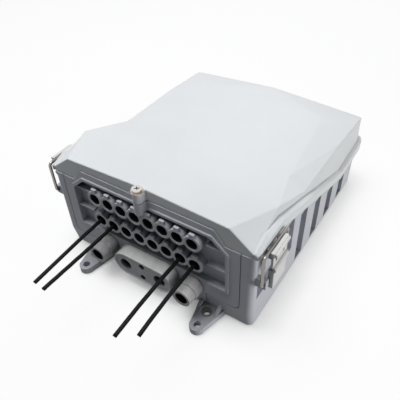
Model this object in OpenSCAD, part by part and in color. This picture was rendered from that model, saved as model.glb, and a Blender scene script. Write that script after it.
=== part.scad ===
// Outdoor fibre termination box, lying on its wall face with the port end at -Y and the lid up.
// Origin: middle of the wall face. Millimetres.

/* [Case] */
// Width over the lid flange
case_w = 294; // [284:1:310]
// Length of the base from the port wall to the hinge wall
case_l = 330; // [320:1:350]
// Thickness of the base walls
wall = 3.5; // [2.5:0.1:4.5]
// Thickness of the base floor
floor_t = 4; // [3:0.1:6]
// How far the side and hinge walls lean in from rim to floor
draft = 1; // [0.5:0.5:3]
// Radius of the base's upright corners
corner_r = 8; // [7:0.5:12]
// Height of the rounded edge round the floor
foot_round = 2; // [1:0.5:4]
// How far the port wall leans in below the panel
chin = 4.5; // [2:0.5:8]

/* [Rim] */
// Flange top height along the level run at the port end
rim_front_z = 141; // [138:0.5:144]
// Flange top height at the port end's corners
cheek_z = 132; // [130:0.5:136]
// Length of the rise from those corners to the level run
cheek_run = 25; // [20:1:30]
// Flange top height at the knee of the slope
rim_knee_z = 69; // [66:1:80]
// Flange top height at the hinge wall
rim_back_z = 75; // [66:1:78]
// Distance of the slope's start from the port wall
rim_level = 56; // [45:1:65]
// Distance of the knee from the port wall
rim_knee = 256; // [240:1:266]
// Height of the lid flange
flange_h = 15; // [12:0.5:17]
// Overhang of the lid flange past the base wall
flange_out = 4; // [3:0.1:5]
// Overhang of the lid flange past the hinge wall
flange_back = 12; // [10:0.5:13]
// Gap between the flange and the base wall
flange_gap = 0.6; // [0.4:0.1:1]
// Thickness of the lid gasket
gasket_t = 3; // [2:0.1:4]
// Seam height beside the ports
seam_low_z = 126; // [123:0.5:128]
// Seam height above the ports
seam_high_z = 144; // [141:0.5:147]
// Half width of the raised middle of the seam
seam_mid_x = 94; // [88:1:98]
// Sideways run of the seam's slant
seam_slant = 14; // [10:1:16]

/* [Lid] */
// Thickness of the lid
lid_wall = 3; // [2:0.1:4]
// Lid height at the middle of the port end
lid_front_z = 158.5; // [156:0.5:165]
// Lid height at the top of the port end's slanted corners
lid_corner_z = 154; // [151:0.5:158]
// Half width between those corners
lid_corner_x = 112; // [104:1:118]
// Distance of the ridge from the port end
ridge_run = 59.5; // [50:1:66]
// Lid height at the middle of the ridge
ridge_z = 156.5; // [153:0.5:162]
// Lid height at the ends of the ridge
ridge_end_z = 150.5; // [148:0.5:156]
// Distance of the shoulders from the port end
shoulder_run = 127; // [118:1:134]
// Half width between the shoulders
shoulder_x = 119.5; // [112:0.5:126]
// Height of the shoulders
shoulder_z = 136; // [132:0.5:142]
// Distance of the dip in the side edge from the port end
dip_run = 128; // [122:1:138]
// Height of the dip
dip_z = 120.5; // [116:0.5:124]
// Distance of the crest behind the plateau from the port end
crest_run = 274; // [264:1:284]
// Half width of the crest
crest_x = 100; // [90:1:110]
// Height of the crest at its ends
crest_z = 129; // [125:0.5:132]
// How far the crest bows back at its middle
crest_bow = 3; // [0:1:8]
// Height of the crest at its middle
crest_mid_z = 129.5; // [125:0.5:133]
// Distance of the tail crease in the side edge from the port end
tail_run = 246; // [236:1:256]
// Height of the tail crease
tail_z = 119; // [114:0.5:122]
// Lid height at the hinge end's corners
back_z = 113; // [106:0.5:116]
// Lid height at the middle of the hinge end
back_mid_z = 122; // [116:0.5:123]
// Sideways lean of the lid wall for each millimetre of height
lid_lean = 0.04; // [0.01:0.01:0.06]
// Radius of the lid's upright corners
lid_r = 6; // [4:0.5:10]

/* [Ports] */
// Distance between neighbouring ports
port_pitch = 20; // [19.4:0.1:20.6]
// Height of the upper row
port_top_z = 115; // [113:0.5:117]
// Height of the lower row
port_low_z = 78; // [77.5:0.1:78.5]
// Bore of a port
port_bore = 15.2; // [13:0.1:16.5]
// Outside of a port ring
ring_d = 22; // [20.6:0.1:23]
// How far the upper rings stand out of the port wall
ring_out = 7; // [4:0.5:9]
// How much shorter the lower rings are
ring_step = 3; // [1:0.5:4]
// Width of the tab on a ring
tab_w = 7; // [5:0.5:10]
// Height of the tab above the ring
tab_h = 4; // [2:0.5:5]
// Length of the tab
tab_l = 3.5; // [2:0.5:8]
// Thickness of the webs under the rings
web_t = 2.5; // [2:0.1:4]

/* [Panel] */
// Distance of the panel's sides from the base's sides
panel_side = 16; // [14:0.5:19]
// Height of the panel's lower edge at its sides
panel_low_z = 30; // [28:0.5:34]
// Radius of the panel's lower corners
panel_r = 8; // [4:0.5:10]
// Depth of the panel body
panel_d = 15; // [14:0.5:18]
// Depth of the pocket round the ports
pocket_d = 8; // [6:0.5:12]
// Sideways run of the pocket's slanted top corners
pocket_slant = 19; // [16:0.5:22]
// Height of the pocket's top edge
pocket_top_z = 131; // [129:0.5:134]
// Distance of the pocket's sides from the panel's sides
pocket_side = 18; // [16:0.5:21]
// Height where the pocket's sides start to slant in
pocket_knee_z = 114; // [110:0.5:118]
// Height of the pocket's lower edge
pocket_low_z = 55; // [54:0.5:58]
// Width of the raised rim round the pocket
rim_w = 4; // [3:0.5:5]
// How far the rim stands out
rim_out = 2; // [1:0.5:3]
// Gap round the panel
panel_gap = 0.4; // [0.2:0.1:0.8]

/* [Entries] */
// Half distance between the round entries
entry_x = 64.7; // [62:0.1:67]
// Height of the round entries
entry_z = 38; // [36:0.5:40]
// Bore of a round entry
entry_bore = 17; // [14:0.1:19]
// Outside of a round entry
entry_d = 24.6; // [22:0.2:26]
// Outside of its collar
collar_d = 28; // [26.4:0.2:29]
// Length of its collar
collar_l = 15; // [6:0.5:18]
// How far a round entry stands out
entry_out = 27; // [24:0.5:34]
// Depth of the open bore in a round entry
entry_depth = 15; // [12:0.5:18]
// Half distance between the oval entry's end circles
oval_x = 26; // [23:0.5:28]
// Height of the oval entry
oval_z = 35; // [34:0.5:36]
// Outer radius of the oval entry
oval_r = 18; // [16.5:0.5:18.5]
// Wall of the oval entry
oval_wall = 2.6; // [2:0.1:3]
// How far the oval entry stands out
oval_out = 18.5; // [14:0.5:24]
// Large holes of the oval seal
seal_big_d = 17; // [13:0.1:18]
// Small holes of the oval seal
seal_small_d = 8.4; // [6:0.1:9]
// Half distance between the small holes
seal_small_z = 9.8; // [9:0.1:10.4]

/* [Ears] */
// Half distance between the ears
ear_x = 88; // [82:0.5:92]
// Distance of the fixing hole from the end wall
ear_run = 30; // [26:0.5:36]
// Distance of the bush from the end wall
bush_run = 8.5; // [6:0.5:10]
// Thickness of an ear
ear_t = 9; // [7:0.5:11]
// Radius of the ear's tip
ear_r = 9.5; // [8:0.5:12]
// Fixing hole
ear_hole_d = 9; // [6:0.1:10]
// Outside of the bush
bush_d = 12.4; // [10:0.1:13]
// Bore of the bush
bush_bore = 9.2; // [7:0.1:10]

/* [Latches] */
// Distance of the latch middle from the port wall
latch_run = 30; // [28:0.5:36]
// Distance between the bail's legs
bail_w = 55; // [50:0.5:58]
// Wire thickness
wire_d = 4; // [3:0.1:4.4]
// Distance of the wire's middle outside the flange
wire_off = 4.5; // [4.3:0.1:6]
// Height of the bail's top bar
bail_top_z = 130; // [128:0.5:134]
// Height of the bail's pivots
bail_low_z = 86; // [82:0.5:90]
// Running gap between wire and bore
wire_gap = 0.05; // [0.02:0.01:0.1]
// Height of the lever's free end
lever_low_z = 75; // [70:0.5:78]
// Thickness of the lever's plate
lever_t = 3.5; // [2.5:0.1:4.5]
// Width of the lever's upper plate
lever_w = 33; // [28:0.5:40]
// Width of the lever's grip
grip_w = 31; // [20:0.5:32]
// Height of the lever's grip
grip_h = 28; // [20:0.5:30]
// Depth of the recess behind the latch
recess_d = 10; // [6:0.5:12]
// Height of the recess's lower edge
recess_low_z = 48; // [44:1:60]
// Distance of the recess's far end from the port wall
recess_run = 102; // [90:1:108]

/* [Hinge] */
// Half distance between the hinges
hinge_x = 60; // [50:1:64]
// Distance of the hinge axis behind the hinge wall
hinge_run = 12; // [11.5:0.5:16]
// Drop of the hinge axis below the flange
hinge_drop = 8; // [7.5:0.5:10]
// Radius of the knuckles
knuckle_r = 6; // [5:0.1:6.5]
// Width of the lid's knuckle
knuckle_w = 12; // [8:0.5:14]
// Width of each base lug
lug_w = 8; // [6:0.5:9]
// Pin thickness
pin_d = 5; // [4:0.1:6]
// Running gap round the pin
pin_gap = 0.05; // [0.02:0.01:0.1]

/* [Lid screw] */
// Outside of the screw post
post_d = 13; // [12:0.5:15]
// Distance of the screw from the port wall
post_run = 4.7; // [4:0.1:5.5]
// Height of the post's lower end
post_low_z = 126; // [124:0.5:127]
// Screw thickness
screw_d = 4.8; // [4:0.1:5.2]
// Screw head
head_d = 12; // [9:0.1:12.5]
// Height of the head
head_h = 2.6; // [2:0.1:3.5]
// Washer under the head
washer_d = 14.6; // [13:0.1:15]
// Length of screw in the insert
screw_grip = 12; // [8:0.5:13]
// Outside of the insert
insert_d = 8; // [7:0.1:9]

/* [Grooves] */
// Width of a side groove
groove_w = 21; // [16:0.5:26]
// Depth of a side groove
groove_d = 15; // [10:0.5:16]
// Distance between neighbouring grooves
groove_pitch = 48.5; // [46:0.5:50]
// Height of the foot rail under the grooves
groove_low_z = 6; // [4:0.5:10]
// Distance of the first groove from the port wall
groove_run = 133; // [130:0.5:138]

/* [Cables] */
// Thickness of a drop cable
cable_d = 4.8; // [3.6:0.1:5.4]

/* [Inside] */
// Half width of the mounting plate
plate_x = 112; // [106:1:116]
// Thickness of the mounting plate
plate_t = 2; // [1.5:0.1:3]
// Height of the standoffs above the floor
standoff_h = 5; // [4:0.5:8]
// Width of the splice tray
tray_w = 190; // [170:1:200]
// Length of the splice tray
tray_l = 130; // [116:1:140]
// Height of the splice tray
tray_h = 16; // [14:0.5:18]
// Height of the tray's posts
tray_post = 8; // [6:0.5:12]
// Thickness of the tray's walls
tray_wall = 2; // [1.5:0.1:2.5]
// Length of a splice sleeve
sleeve_l = 45; // [40:1:60]
// Thickness of a splice sleeve
sleeve_d = 2.8; // [2.4:0.1:3.2]
// Distance between neighbouring splice sleeves
sleeve_pitch = 5; // [4.8:0.1:5.5]
// Height of the lower adapters above the mounting plate
adapter_low = 24; // [20:0.5:28]
// Length of an adapter
adapter_l = 26; // [22:0.5:28]
// Thickness of the adapter bracket
bracket_t = 2; // [1.5:0.1:3]

/* [Hidden] */
$fn = 64;

grey = [0.78, 0.79, 0.80];
pale = [0.88, 0.89, 0.90];
rubber = [0.06, 0.06, 0.065];
soft = [0.70, 0.71, 0.72];
steel = [0.72, 0.72, 0.72];
brass = [0.78, 0.62, 0.30];
green = [0.18, 0.45, 0.30];
far = 400;

// Clearances: between bodies, for a pressed fit, and past a cut face
slack = 0.3;
snug = 0.05;
over = 1;

// Case
front_y = -case_l / 2;
back_y = case_l / 2;
base_x = case_w / 2 - flange_out;
panel_x = base_x - panel_side;
pocket_x = panel_x - pocket_side;
pocket_top_x = pocket_x - pocket_slant;
top_z = rim_front_z + 9;
foot_in = 0.7 * foot_round;
lid_set = 1.2;
lid_y0 = front_y + lid_set;
lid_x = base_x - 1;
ledge_t = 3;
ledge_in = base_x - draft - wall - 1;
tongue_y = front_y + 12;
lid_end_y = tongue_y - 4;
tongue_drop = gasket_t + ledge_t + slack;

// Rim line, port end to hinge end, as [y, z]
rim_end = 20;
rim_line = [
  [front_y - rim_end, cheek_z], [front_y, cheek_z], [front_y + cheek_run, rim_front_z],
  [front_y + rim_level, rim_front_z], [front_y + rim_knee, rim_knee_z],
  [back_y, rim_back_z], [back_y + rim_end, rim_back_z]
];

// Lower edge of the flange, level at the port end
skirt_line = concat(
  [[front_y - rim_end, rim_front_z - flange_h]],
  [for (i = [3 : len(rim_line) - 1]) rim_line[i] - [0, flange_h]]
);

// Seam above the port wall, as [x, z]
seam_line = [
  [-far, seam_low_z], [-seam_mid_x - seam_slant, seam_low_z], [-seam_mid_x, seam_high_z],
  [seam_mid_x, seam_high_z], [seam_mid_x + seam_slant, seam_low_z], [far, seam_low_z]
];

function shifted(line, dz) = [for (p = line) [p[0], p[1] + dz]];
function flipped(list) = [for (i = [len(list) - 1 : -1 : 0]) list[i]];
function between(a, b, y) = a[1] + (b[1] - a[1]) * (y - a[0]) / (b[0] - a[0]);
function rim_z(y, i = 1) =
  i == len(rim_line) - 1 || y < rim_line[i][0] ? between(rim_line[i - 1], rim_line[i], y) : rim_z(y, i + 1);

// Rounded outline in plan, between two ends
module plan(x, y0, y1, r) {
  translate([-x, y0 + r]) square([2 * x, y1 - y0 - 2 * r]);
  translate([-x + r, y0]) square([2 * x - 2 * r, y1 - y0]);
  for (sx = [-1, 1], y = [y0 + r, y1 - r]) translate([sx * (x - r), y]) circle(r);
}

// An outline in [y, z] drawn out along X, and one in [x, z] drawn out along Y
module along_x(x0, x1) translate([x0, 0, 0]) rotate([90, 0, 90]) linear_extrude(x1 - x0) children();
module along_y(y0, y1) translate([0, y1, 0]) rotate([90, 0, 0]) linear_extrude(y1 - y0) children();

// A rod along X or along Y, and a box between two corners
module rod_x(d, x0, x1) translate([x0, 0, 0]) rotate([0, 90, 0]) cylinder(d = d, h = x1 - x0);
module rod_y(d, y0, y1) translate([0, y0, 0]) rotate([-90, 0, 0]) cylinder(d = d, h = y1 - y0);
module box(a, b) translate(a) cube(b - a);

// A copy mirrored to the other side, or to the other end
module both_sides() for (m = [0, 1]) mirror([m, 0, 0]) children();
module both_ends() for (m = [0, 1]) mirror([0, m, 0]) children();

// A machine screw with its head at the origin, pointing down
module screw(d, head, l) {
  cylinder(d = head, h = 0.7 * d);
  translate([0, 0, -l]) cylinder(d = d, h = l + 0.1);
}

// Space between the rim line and a lower line
module rim_band(low_line) along_x(-far, far) polygon(concat(rim_line, flipped(low_line)));

// Space under the rim line behind y0
module under_rim(dz, y0) {
  along_x(-far, far) polygon(concat(
    [[y0, -over], [y0, rim_z(y0) + dz]],
    [for (p = rim_line) if (p[0] > y0) p + [0, dz]],
    [[back_y + rim_end, -over]]
  ));
}

// Space under the seam ahead of y1
module under_seam(dz, y1) {
  along_y(front_y - 40, y1) polygon(concat(shifted(seam_line, dz), [[far, -over], [-far, -over]]));
}

// Outer skin of the base at one height
module base_slice(z, inset, front_inset) {
  translate([0, 0, z]) linear_extrude(0.01)
    plan(base_x - inset, front_y + front_inset, back_y - inset, corner_r, $fn = 32);
}

module base_outer() {
  chin_z = panel_low_z - 2;
  lean = draft * (1 - chin_z / top_z);
  hull() {
    base_slice(0, draft + foot_in, chin + foot_in);
    base_slice(foot_round, draft, chin);
    base_slice(chin_z, lean, 0);
    base_slice(top_z, 0, 0);
  }
}

module base_cavity() {
  chin_z = panel_low_z - 2;
  lean = draft * (1 - chin_z / top_z) + wall;
  hull() {
    base_slice(floor_t, draft + wall + foot_in, chin + wall + foot_in);
    base_slice(floor_t + foot_round, draft + wall, chin + wall);
    base_slice(chin_z, lean, wall);
    base_slice(top_z + over, wall, wall);
  }
}

// Grooves and latch recesses in the side walls, grown by a margin
groove_count = 4;
recess_y0 = tongue_y;
recess_y1 = front_y + recess_run;
groove_drop = flange_h + 5;
module side_cuts(grow) {
  both_sides() {
    for (i = [0 : groove_count - 1]) {
      y = front_y + groove_run + i * groove_pitch;
      box([base_x - groove_d - grow, y - groove_w / 2 - grow, groove_low_z - grow],
          [base_x + 40, y + groove_w / 2 + grow, rim_z(y + groove_w / 2) - groove_drop + grow]);
    }
    box([base_x - recess_d - grow, recess_y0 - grow, recess_low_z - grow],
        [base_x + 40, recess_y1 + grow, rim_z(recess_y1) - groove_drop + grow]);
  }
}

// Ear at the right of the port end
ear_root_y = front_y + chin + foot_round + wall;
ear_y = front_y - ear_run;
bush_y = front_y - bush_run;
gusset_t = 3.5;
gusset_h = 16;
gusset_off = 3;
seat_deep = 1.5;
module ear() {
  difference() {
    union() {
      linear_extrude(ear_t) {
        translate([ear_x, ear_y]) circle(ear_r);
        polygon([
          [ear_x - ear_r, ear_y], [ear_x - ear_r - 8, ear_root_y],
          [ear_x + ear_r + 10, ear_root_y], [ear_x + ear_r, ear_y]
        ]);
      }
      for (s = [-1, 1]) translate([ear_x + s * (ear_r + gusset_off), 0, 0])
        along_x(-gusset_t / 2, gusset_t / 2)
          polygon([[bush_y - 2, ear_t - over], [ear_root_y, ear_t + gusset_h], [ear_root_y, ear_t - over]]);
    }
    translate([ear_x, ear_y, -over]) cylinder(d = ear_hole_d, h = ear_t + 2 * over);
    translate([ear_x, bush_y, -over]) cylinder(d = bush_d + 2 * snug, h = ear_t + 2 * over);
    translate([ear_x, bush_y, ear_t - seat_deep]) cylinder(d = bush_d + 4, h = gusset_h);
  }
}

// Latch places and the lugs that carry the right bail's pivots
wire_x = case_w / 2 + wire_off;
latch_y = front_y + latch_run;
latch_lug_t = 7;
latch_lug_h = 6;
latch_lug_skin = 1.2;
lug_end = bail_w / 2 - wire_d / 2 - 1;
module latch_lugs() {
  for (s = [-1, 1]) {
    y0 = latch_y + (s > 0 ? lug_end - latch_lug_t : -lug_end);
    difference() {
      box([base_x - draft - recess_d, y0, bail_low_z - latch_lug_h],
          [wire_x + wire_d / 2 + latch_lug_skin, y0 + latch_lug_t, bail_low_z + latch_lug_h]);
      translate([wire_x, 0, bail_low_z]) rod_y(wire_d + 2 * wire_gap, y0 - over, y0 + latch_lug_t + over);
    }
  }
}

// Hinge places and the base lugs of the right hinge
hinge_y = back_y + hinge_run;
skirt_low_z = rim_z(back_y) - flange_h;
hinge_z = skirt_low_z - hinge_drop;
hinge_gap = 0.4;
module hinge_lugs() {
  for (s = [-1, 1]) {
    x0 = hinge_x + (s > 0 ? knuckle_w / 2 + hinge_gap : -knuckle_w / 2 - hinge_gap - lug_w);
    difference() {
      union() {
        translate([0, hinge_y, hinge_z]) rod_x(2 * knuckle_r, x0, x0 + lug_w);
        box([x0, back_y - draft - over, hinge_z - knuckle_r], [x0 + lug_w, hinge_y, hinge_z + knuckle_r]);
      }
      translate([0, hinge_y, hinge_z]) rod_x(pin_d + snug, x0 - over, x0 + lug_w + over);
    }
  }
}

// Panel outline in [x, z], drawn in by a margin
step_x = entry_x + collar_d / 2 + 3;
step_z = oval_z - oval_r - 3;
module panel_outline(m) {
  x = panel_x - m;
  low = panel_low_z + m;
  half = [
    [seam_mid_x, seam_high_z - m], [seam_mid_x + seam_slant, seam_low_z - m], [x, seam_low_z - m],
    [x, low + panel_r], [x - panel_r, low], [step_x - m, low], [step_x - m, step_z + m]
  ];
  polygon(concat(half, flipped([for (p = half) [-p[0], p[1]]])));
  for (s = [-1, 1]) translate([s * (x - panel_r), low + panel_r]) circle(panel_r);
}

// Frame in the base that the panel is screwed to from inside
panel_back = front_y + panel_d;
panel_gasket_t = 2;
frame_y = panel_back + panel_gasket_t;
frame_t = 3;
frame_lap = 9;
frame_top_z = rim_z(panel_back) - tongue_drop;
panel_hole_low = 25;
panel_hole_high = 16;
panel_holes = [for (s = [-1, 1], z = [panel_low_z + panel_hole_low, seam_low_z - panel_hole_high])
  [s * (panel_x - frame_lap / 2), z]];

module panel_frame() {
  intersection() {
    base_outer();
    along_y(frame_y, frame_y + frame_t) difference() {
      translate([-base_x, 0]) square([2 * base_x, frame_top_z]);
      panel_outline(frame_lap);
    }
  }
}

// Small screws inside, and the mounting plate's fixings
small_d = 3;
small_head = 5.6;
screw_bite = 8;
plate_z = floor_t + standoff_h;
plate_top = plate_z + plate_t;
plate_y0 = frame_y + frame_t + 5;
plate_y1 = back_y - draft - wall - 22;
plate_holes = [for (s = [-1, 1], y = [plate_y0 + 8, plate_y1 - 8]) [s * (plate_x - 8), y]];

module base_shell() {
  color(grey) {
    difference() {
      union() {
        difference() {
          base_outer();
          difference() {
            base_cavity();
            side_cuts(wall);
          }
          side_cuts(0);
        }
        difference() {
          panel_frame();
          side_cuts(0);
        }
        difference() {
          both_ends() both_sides() ear();
          base_cavity();
        }
        for (p = plate_holes) translate([p[0], p[1], floor_t - over]) cylinder(d = 9, h = standoff_h + over);
      }
      difference() {
        box([-far, -far, hinge_z], [far, far, far]);
        under_rim(-tongue_drop, tongue_y);
        under_seam(-slack, tongue_y);
      }
      along_y(front_y - over, panel_back) panel_outline(-panel_gap);
      for (p = plate_holes) translate([p[0], p[1], floor_t]) cylinder(d = small_d + 2 * snug, h = 20);
      for (p = panel_holes) translate([p[0], 0, p[1]])
        rod_y(small_d + 2 * snug, frame_y - over, frame_y + frame_t + over);
    }
    both_sides() latch_lugs();
    both_sides() hinge_lugs();
  }
}

module ear_bushes() {
  color(steel) both_ends() both_sides() translate([ear_x, bush_y, 0]) difference() {
    cylinder(d = bush_d, h = ear_t - seat_deep);
    translate([0, 0, -over]) cylinder(d = bush_bore, h = ear_t + 2 * over);
  }
}

module hinge_pins() {
  reach = knuckle_w / 2 + hinge_gap + lug_w + 1.5;
  color(steel) both_sides() translate([0, hinge_y, hinge_z]) rod_x(pin_d, hinge_x - reach, hinge_x + reach);
}

// Gasket on the rim of the base, and a strip on the panel's top edge
strip_x = seam_mid_x - 4;
strip_y0 = front_y + 6.5;
strip_y1 = front_y + 12;
module lid_gasket() {
  color(rubber) {
    intersection() {
      difference() {
        base_outer();
        base_cavity();
      }
      difference() {
        under_rim(-tongue_drop + gasket_t, tongue_y);
        under_rim(-tongue_drop, tongue_y - over);
      }
    }
    box([-strip_x, strip_y0, seam_high_z - panel_gap],
        [strip_x, strip_y1, seam_high_z - panel_gap + gasket_t]);
  }
}

// Ports
port_count = 8;
function port_x(i) = (i - (port_count - 1) / 2) * port_pitch;
ports = [for (i = [0 : port_count - 1]) port_x(i)];
cable_x = [ports[0], ports[1], ports[port_count - 2], ports[port_count - 1]];
free_low_x = [for (i = [2 : port_count - 3]) ports[i]];
top_ring_y = front_y - ring_out;
low_ring_y = top_ring_y + ring_step;
pocket_y = front_y + pocket_d;
post_y = front_y - post_run;

// Pocket outline in [x, z], grown by a margin
module pocket_outline(m) {
  half = [
    [pocket_top_x + m / 2, pocket_top_z + m], [pocket_x + m, pocket_knee_z + m / 2],
    [pocket_x + m, pocket_low_z - m]
  ];
  polygon(concat(half, flipped([for (p = half) [-p[0], p[1]]])));
}

// One row of rings, which run into each other, with their tabs and webs
module port_row(y, z) {
  for (x = ports) translate([x, 0, z]) {
    rod_y(ring_d, y, pocket_y + over);
    box([-tab_w / 2, y, ring_d / 2 - over], [tab_w / 2, y + tab_l, ring_d / 2 + tab_h]);
    box([-web_t / 2, y + 4, -ring_d / 2 - 5], [web_t / 2, pocket_y + over, 0]);
  }
}

module port_bores() {
  for (x = ports, z = [port_top_z, port_low_z])
    translate([x, 0, z]) rod_y(port_bore, top_ring_y - over, panel_back + over);
}

// Ribs at the sides of the pocket
rib_in = pocket_x - 25;
rib_zs = [port_top_z, port_low_z + 6];
module pocket_ribs() {
  for (z = rib_zs) both_sides()
    box([rib_in, front_y, z - web_t / 2], [pocket_x + over, pocket_y + over, z + web_t / 2]);
}

module oval(r) {
  translate([-oval_x, -r]) square([2 * oval_x, 2 * r]);
  for (s = [-1, 1]) translate([s * oval_x, 0]) circle(r);
}

insert_low_z = seam_high_z - panel_gap - screw_grip - 1.6;
module port_panel() {
  color(grey) difference() {
    union() {
      difference() {
        union() {
          along_y(front_y, panel_back) panel_outline(panel_gap);
          difference() {
            along_y(front_y - rim_out, front_y + over) pocket_outline(rim_w);
            box([-rib_in, front_y - 2 * rim_out, 0], [rib_in, front_y + 2 * over, pocket_low_z]);
          }
        }
        along_y(front_y - rim_out - over, pocket_y) pocket_outline(0);
      }
      port_row(top_ring_y, port_top_z);
      port_row(low_ring_y, port_low_z);
      pocket_ribs();
      translate([0, post_y, post_low_z]) cylinder(d = post_d, h = seam_high_z - panel_gap - post_low_z);
      box([-post_d / 2, post_y, post_low_z], [post_d / 2, front_y + over, seam_high_z - panel_gap]);
    }
    port_bores();
    translate([0, post_y, insert_low_z - over]) cylinder(d = insert_d + 2 * snug, h = 40);
    both_sides() translate([entry_x, 0, entry_z]) rod_y(plug_bore, front_y - over, panel_back + over);
    along_y(front_y - over, panel_back + over) translate([0, oval_z]) oval(oval_r - oval_wall - 2);
    for (p = panel_holes) translate([p[0], 0, p[1]])
      rod_y(small_d + 2 * snug, panel_back - screw_bite - over, panel_back + over);
  }
}

module panel_gasket() {
  color(rubber) difference() {
    along_y(panel_back, frame_y) intersection() {
      difference() {
        panel_outline(over);
        panel_outline(frame_lap);
      }
      translate([-base_x, 0]) square([2 * base_x, frame_top_z]);
    }
    for (p = panel_holes) translate([p[0], 0, p[1]])
      rod_y(small_d + 2 * snug, panel_back - over, frame_y + over);
  }
}

module panel_screws() {
  color(steel) for (p = panel_holes) translate([p[0], frame_y + frame_t, p[1]]) rotate([-90, 0, 0])
    screw(small_d, small_head, frame_t + panel_gasket_t + screw_bite);
}

// Rubber cups that line the ports, set back a little from the ring's face
cup_set = 0.8;
cup_wall = 1.1;
cup_deep = 7;
module port_rubber(x, y, z) {
  translate([x, 0, z]) difference() {
    rod_y(port_bore - 2 * snug, y + cup_set, panel_back);
    rod_y(port_bore - 2 * snug - 2 * cup_wall, y, y + cup_set + cup_deep);
  }
}

module port_plugs() {
  color(rubber) {
    for (x = ports) port_rubber(x, top_ring_y, port_top_z);
    for (x = free_low_x) port_rubber(x, low_ring_y, port_low_z);
  }
}

module cable_seals() {
  color(rubber) for (x = cable_x) difference() {
    port_rubber(x, low_ring_y, port_low_z);
    translate([x, 0, port_low_z]) rod_y(cable_d + 4 * snug, front_y - far / 10, panel_back + over);
  }
}

// Round entries: an open mouth, then a narrower bore with a plug
entry_y = front_y - entry_out;
plug_bore = entry_bore - 2;
module entry_sleeve() {
  color(grey) translate([entry_x, 0, entry_z]) difference() {
    union() {
      rod_y(collar_d, front_y - collar_l, front_y);
      rod_y(entry_d, entry_y, front_y);
    }
    rod_y(entry_bore, entry_y - over, entry_y + entry_depth);
    rod_y(plug_bore, entry_y, front_y + over);
  }
}
module entry_sleeve_right() entry_sleeve();
module entry_sleeve_left() mirror([1, 0, 0]) entry_sleeve();

module entry_plugs() {
  color(rubber) both_sides() translate([entry_x, 0, entry_z])
    rod_y(plug_bore - 2 * snug, entry_y + entry_depth, panel_back);
}

// Oval entry and its rubber block
oval_y = front_y - oval_out;
seal_set = 0.8;
seal_deep = 12.2;
module oval_entry() {
  color(grey) along_y(oval_y, front_y) translate([0, oval_z]) difference() {
    oval(oval_r);
    oval(oval_r - oval_wall);
  }
}

module oval_seal() {
  color(soft) difference() {
    along_y(oval_y + seal_set, front_y) translate([0, oval_z]) oval(oval_r - oval_wall - snug);
    for (s = [-1, 1]) {
      translate([s * oval_x, 0, oval_z]) rod_y(seal_big_d, oval_y, oval_y + seal_set + seal_deep);
      translate([0, 0, oval_z + s * seal_small_z])
        rod_y(seal_small_d, oval_y, oval_y + seal_set + seal_deep);
    }
  }
}

// Lid skin: middle points, then one side's points, drawn in by a margin
function lean_x(z) = lid_x - lid_lean * (z - rim_back_z);
function lid_y(run) = lid_y0 + run;
function mid_points(t) = [
  [0, lid_y(t), lid_front_z - t], [0, lid_y(ridge_run), ridge_z - t],
  [0, lid_y(crest_run + crest_bow), crest_mid_z - t], [0, back_y - t, back_mid_z - t]
];
function edge_point(y, z, t) = [lean_x(z) - t, y, z - t];
function side_points(t) = [
  [lid_corner_x, lid_y(t), lid_corner_z - t], edge_point(lid_y(t), cheek_z, t),
  edge_point(lid_y(ridge_run), ridge_end_z, t), [shoulder_x, lid_y(shoulder_run), shoulder_z - t],
  edge_point(lid_y(dip_run), dip_z, t), [crest_x, lid_y(crest_run), crest_z - t],
  edge_point(lid_y(tail_run), tail_z, t), edge_point(back_y - t, back_z, t),
  edge_point(lid_y(t), rim_back_z - 10, t), edge_point(back_y - t, rim_back_z - 10, t)
];
side_count = len(side_points(0));
function lid_points(t) =
  concat(mid_points(t), side_points(t), [for (p = side_points(t)) [-p[0], p[1], p[2]]]);
function other(i) = i < 4 ? i : i + side_count;
half_faces = [
  [0, 4, 1], [4, 6, 1], [4, 5, 6], [1, 6, 7], [1, 7, 9], [1, 9, 2], [6, 8, 7], [7, 8, 10],
  [7, 10, 9], [9, 10, 11], [9, 11, 3], [9, 3, 2],
  [12, 13, 11], [12, 11, 10], [12, 10, 8], [12, 8, 6], [12, 6, 5],
  [0, 12, 5], [0, 5, 4], [3, 11, 13]
];
cross_faces = [[0, 22, 12], [3, 13, 23], [22, 23, 13], [22, 13, 12]];
lid_faces = [
  for (f = half_faces) flipped(f),
  for (f = half_faces) [for (i = f) other(i)],
  for (f = cross_faces) flipped(f)
];
module lid_form(t) {
  intersection() {
    polyhedron(lid_points(t), lid_faces);
    linear_extrude(far) plan(lid_x - t, lid_y(t), back_y - t, max(lid_r - t, over));
  }
}

// Flange ring hanging from the lid, and the ledge that joins it to the skin
flange_x = base_x + flange_out;
flange_y = back_y + flange_back;
flange_t = flange_out - flange_gap;
module flange_plan() plan(flange_x, front_y - flange_out, flange_y, corner_r + flange_out);
module skirt_plan()
  plan(flange_x - flange_t, front_y - flange_gap, flange_y - flange_t, corner_r + flange_gap);
module lid_flange() {
  difference() {
    union() {
      intersection() {
        linear_extrude(far) difference() {
          flange_plan();
          skirt_plan();
        }
        rim_band(skirt_line);
      }
      intersection() {
        linear_extrude(far) difference() {
          flange_plan();
          plan(ledge_in, lid_y(over), back_y - draft - wall - 1, lid_r);
        }
        rim_band(shifted(rim_line, -ledge_t));
      }
    }
    both_sides() flange_slope();
  }
}

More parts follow.
